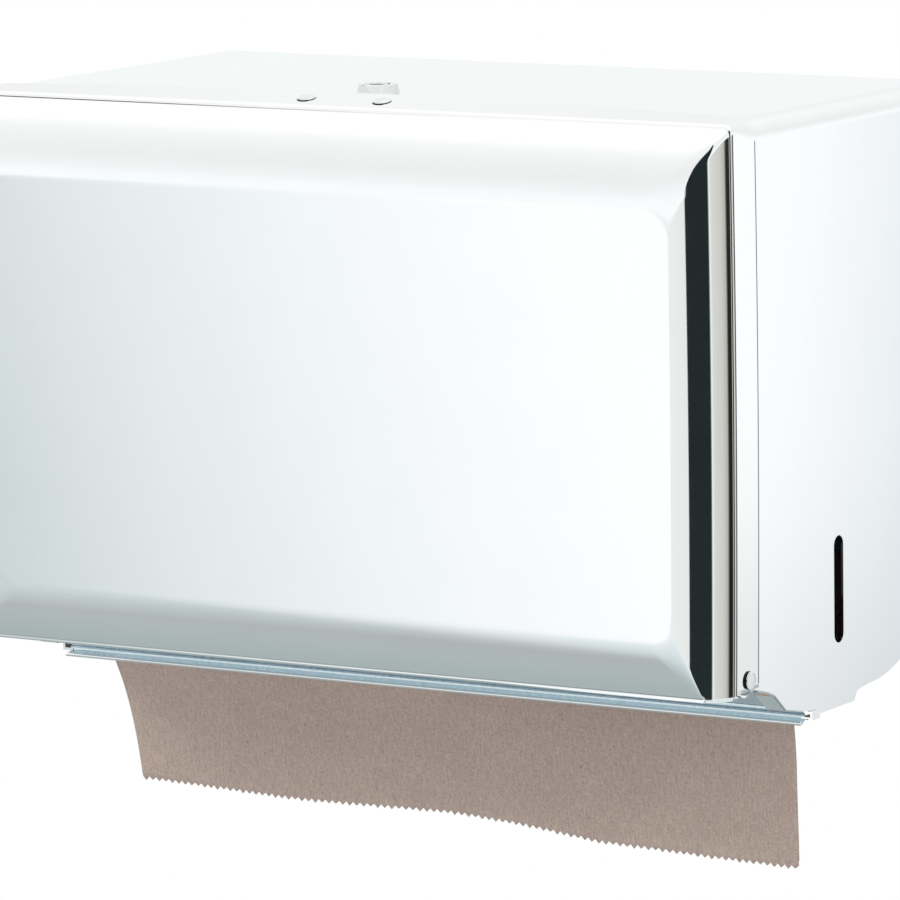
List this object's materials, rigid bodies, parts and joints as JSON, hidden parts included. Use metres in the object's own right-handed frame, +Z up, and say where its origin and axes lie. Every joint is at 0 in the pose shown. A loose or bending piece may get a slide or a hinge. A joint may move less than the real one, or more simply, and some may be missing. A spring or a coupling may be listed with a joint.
{
  "type": "folded towel dispenser",
  "caption": "Wall-hung polished sheet-metal dispenser for folded paper towels, with a raised drop-down front door and a key lock in its top.",
  "frame": {"origin": "on the wall plane, at the centre of the four screw holes in the back panel", "axes": "+X to the right seen from the front, +Y into the wall, +Z up; the door faces -Y"},
  "size_m": [0.276, 0.1545, 0.2375],
  "materials": {
    "polished_sheet": "mirror-polished chromed sheet steel",
    "bright_rivet": "polished rivet heads",
    "lock_chrome": "polished chrome plate on turned brass",
    "zinc_steel": "bright zinc plate",
    "wafer_brass": "stamped brass",
    "kraft_towel": "unbleached kraft towel paper, fine crepe"
  },
  "bodies": {
    "cabinet": {"cabinet_shell": "polished_sheet", "back_panel": "polished_sheet", "front_ledge": "polished_sheet", "rear_lip": "polished_sheet", "hinge_rivet_left": "bright_rivet", "hinge_rivet_right": "bright_rivet", "hinge_washer_left": "zinc_steel", "hinge_washer_right": "zinc_steel", "lock_barrel": "lock_chrome", "lock_washer": "zinc_steel", "lock_nut": "zinc_steel", "towel_stack": "kraft_towel", "hanging_towel": "kraft_towel"},
    "door": {"door_panel": "polished_sheet", "door_catch": "zinc_steel", "catch_rivets": "bright_rivet"},
    "lock_core": {"lock_plug": "lock_chrome", "lock_wafers": "wafer_brass", "lock_cam": "zinc_steel", "cam_washer": "zinc_steel", "cam_screw": "zinc_steel"}
  },
  "joints": [
    {"name": "door_hinge", "type": "hinge", "parent": "cabinet", "child": "door", "pos_m": [0, -0.1357, -0.1001], "axis": [1, 0, 0], "range_deg": [0, 95]},
    {"name": "lock_turn", "type": "hinge", "parent": "cabinet", "child": "lock_core", "pos_m": [-0.0131, -0.097, 0.06], "axis": [0, 0, 1], "range_deg": [0, 90]}
  ]
}
